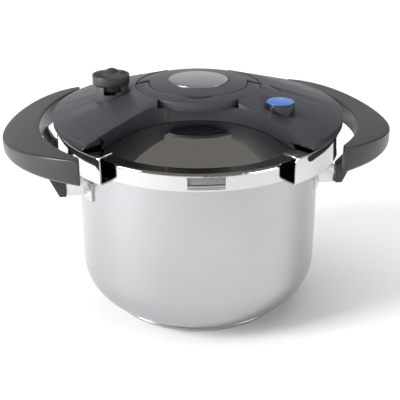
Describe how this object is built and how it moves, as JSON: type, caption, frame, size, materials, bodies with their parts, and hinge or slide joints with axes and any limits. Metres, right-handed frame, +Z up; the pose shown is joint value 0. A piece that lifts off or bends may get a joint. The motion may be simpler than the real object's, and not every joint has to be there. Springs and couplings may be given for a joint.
{
  "type": "clamp-jaw pressure cooker",
  "caption": "Round stove-top pressure cooker or canner: steel pot with side handles, domed lid, moulded lid cover with a lifting bail that opens clamp jaws.",
  "frame": {"origin": "centre of the base on the surface the pot stands on", "axes": "+Z up along the pot's axis, jaws open along +X and -X, release button on the +X side, bail at -Y"},
  "size_m": [0.3782, 0.2554, 0.2389],
  "materials": {
    "steel_satin": "satin drawn steel",
    "steel_polished": "mirror polished steel",
    "steel_plain": "plain turned or pressed steel",
    "aluminium_core": "plain",
    "handle_black": "semi-gloss moulded",
    "cover_charcoal": "fine satin moulded",
    "knob_black": "semi-gloss moulded",
    "button_blue": "gloss",
    "insert_silver": "satin",
    "gasket_grey": "moulded silicone"
  },
  "bodies": {
    "pot": {"pot_body": "steel_satin", "base_core": "aluminium_core", "base_cap": "steel_satin", "bracket_left": "steel_plain", "bracket_right": "steel_plain", "handle_left": "handle_black", "handle_right": "handle_black", "handle_pins": "steel_plain", "lid_shell": "steel_polished", "lid_gasket": "gasket_grey", "lid_cover": "cover_charcoal", "cover_screws": "steel_plain", "hub_disc": "cover_charcoal", "hub_insert": "insert_silver", "hub_post": "steel_plain", "hub_nut": "steel_plain", "post_nut": "steel_plain", "cam_bracket": "steel_plain", "arm_guide_left": "steel_plain", "arm_guide_right": "steel_plain", "valve_collar": "cover_charcoal", "valve_stem": "steel_plain", "valve_nut": "steel_plain", "valve_seal": "gasket_grey", "valve_plunger": "steel_plain", "valve_spring": "steel_plain", "button_collar": "cover_charcoal", "button_guide": "steel_plain", "button_spring": "steel_plain", "piston_guide": "steel_plain"},
    "bail": {"bail_lever": "cover_charcoal", "bail_pivot_left": "steel_plain", "bail_pivot_right": "steel_plain", "cam_barrel_left": "steel_plain", "cam_barrel_right": "steel_plain"},
    "jaw_left": {"jaw_left": "steel_polished", "jaw_arm_left": "steel_plain", "follower_left": "steel_plain", "jaw_rivets_left": "steel_plain"},
    "jaw_right": {"jaw_right": "steel_polished", "jaw_arm_right": "steel_plain", "follower_right": "steel_plain", "jaw_rivets_right": "steel_plain"},
    "selector": {"valve_knob": "knob_black"},
    "button": {"button_body": "knob_black", "button_cap": "button_blue", "button_stem": "steel_plain"},
    "piston": {"safety_piston": "steel_plain", "piston_seal": "gasket_grey", "piston_clip": "steel_plain"}
  },
  "joints": [
    {"name": "bail_lift", "type": "hinge", "parent": "pot", "child": "bail", "pos_m": [0, 0, 0.21783], "axis": [-1, 0, 0], "range_deg": [0, 90]},
    {"name": "jaw_left_open", "type": "slide", "parent": "pot", "child": "jaw_left", "axis": [-1, 0, 0], "range_m": [0, 0.009]},
    {"name": "jaw_right_open", "type": "slide", "parent": "pot", "child": "jaw_right", "axis": [1, 0, 0], "range_m": [0, 0.009]},
    {"name": "selector_turn", "type": "hinge", "parent": "pot", "child": "selector", "pos_m": [-0.083, -0.011, 0.2264], "axis": [0, 0, 1], "range_deg": [0, 120]},
    {"name": "button_press", "type": "slide", "parent": "pot", "child": "button", "axis": [0, 0, -1], "range_m": [0, 0.003], "stiffness_N_per_m": 1500, "springref_m": -0.001, "deforming": ["button_spring"]},
    {"name": "piston_rise", "type": "slide", "parent": "pot", "child": "piston", "axis": [0, 0, 1], "range_m": [0, 0.003]}
  ],
  "couplings": [
    {"joint": "bail_lift", "follows": "jaw_left_open", "rad_per_m": 174.53},
    {"joint": "jaw_right_open", "follows": "jaw_left_open", "ratio": 1}
  ]
}
